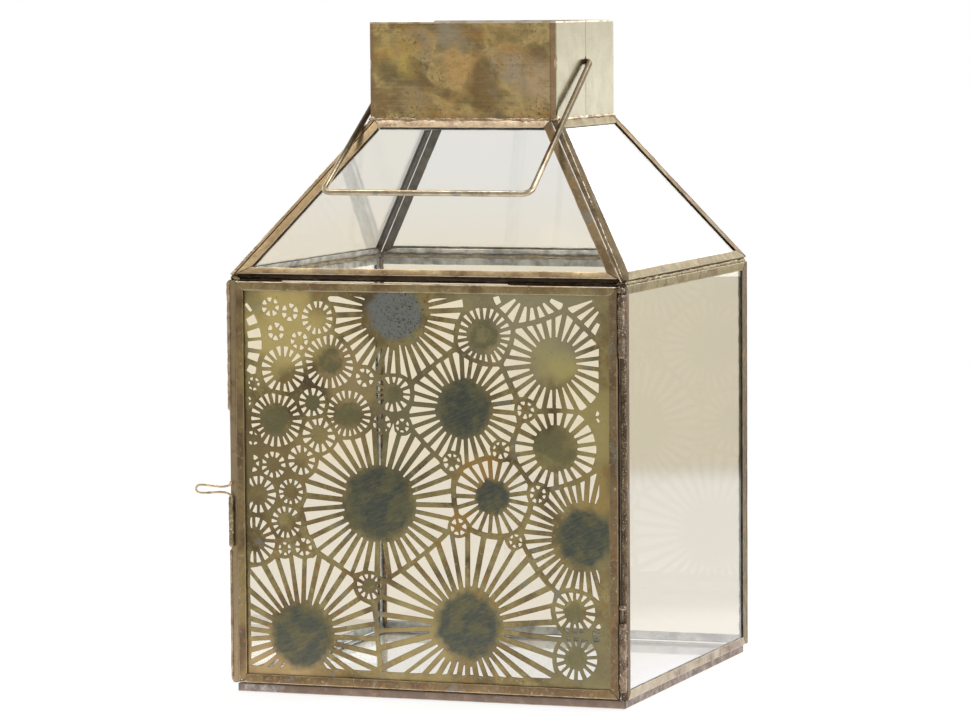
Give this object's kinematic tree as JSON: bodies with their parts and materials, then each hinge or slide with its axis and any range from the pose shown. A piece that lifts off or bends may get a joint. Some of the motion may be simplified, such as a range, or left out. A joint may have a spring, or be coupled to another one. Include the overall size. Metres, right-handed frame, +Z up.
{
  "type": "candle lantern",
  "caption": "Square candle lantern of glass panes in folded brass cames, with a pierced hinged door, a hipped glass roof, an open collar and a wire bail.",
  "frame": {"origin": "bottom centre of the bounding box, on the surface the lantern stands on; the square body's own middle lies 7.3 mm towards +X and 1.65 mm towards +Y of it, because the latch and the hinge barrels stand out", "axes": "+Z up; the pierced door faces -Y, with its hinge on the +X side and its latch on the -X side"},
  "size_m": [0.1796, 0.1684, 0.2647],
  "materials": {
    "came": "aged brass with a mottled gold, rust and olive patina",
    "pierced": "aged brass sheet with blue-grey and olive stains",
    "collar": "satin aged brass, mottled gold-brown",
    "wire": "satin aged brass wire",
    "solder": "rough dull solder with bright specks",
    "glass": "clear window glass, faintly warm"
  },
  "bodies": {
    "lantern": {"base_glass": "glass", "base_front_rail": "came", "base_right_rail": "came", "base_back_rail": "came", "base_left_rail": "came", "right_glass": "glass", "right_bottom_rail": "came", "right_back_stile": "came", "right_top_rail": "came", "right_front_stile": "came", "left_glass": "glass", "left_bottom_rail": "came", "left_front_stile": "came", "left_top_rail": "came", "left_back_stile": "came", "back_glass": "glass", "back_bottom_rail": "came", "back_left_stile": "came", "back_top_rail": "came", "back_right_stile": "came", "roof_front_glass": "glass", "roof_front_eave_rail": "came", "roof_front_hip_rail_right": "came", "roof_front_top_rail": "came", "roof_front_hip_rail_left": "came", "roof_right_glass": "glass", "roof_right_eave_rail": "came", "roof_right_hip_rail_right": "came", "roof_right_top_rail": "came", "roof_right_hip_rail_left": "came", "roof_back_glass": "glass", "roof_back_eave_rail": "came", "roof_back_hip_rail_right": "came", "roof_back_top_rail": "came", "roof_back_hip_rail_left": "came", "roof_left_glass": "glass", "roof_left_eave_rail": "came", "roof_left_hip_rail_right": "came", "roof_left_top_rail": "came", "roof_left_hip_rail_left": "came", "hip_solder_front_left": "solder", "hip_solder_front_right": "solder", "hip_solder_back_right": "solder", "hip_solder_back_left": "solder", "collar_front": "collar", "collar_back": "collar", "hinge_barrel_top": "came", "hinge_barrel_bottom": "came", "latch_sleeve": "came"},
    "door": {"door_bottom_rail": "came", "door_hinge_stile": "came", "door_top_rail": "came", "door_latch_stile": "came", "door_screen": "pierced", "hinge_pin_top": "wire", "hinge_pin_bottom": "wire"},
    "bail": {"bail_handle": "wire"},
    "latch": {"latch_loop": "wire"}
  },
  "joints": [
    {"name": "door_hinge", "type": "hinge", "parent": "lantern", "child": "door", "pos_m": [0.0883, -0.08265, 0.0838], "axis": [0, 0, 1], "range_deg": [0, 210]},
    {"name": "bail_swing", "type": "hinge", "parent": "lantern", "child": "bail", "pos_m": [0.0073, 0.00165, 0.2483], "axis": [-1, 0, 0], "range_deg": [0, 243.5]},
    {"name": "latch_turn", "type": "hinge", "parent": "lantern", "child": "latch", "pos_m": [-0.0743, -0.08225, 0.0681], "axis": [0, 0, 1], "range_deg": [-25, 155]}
  ]
}
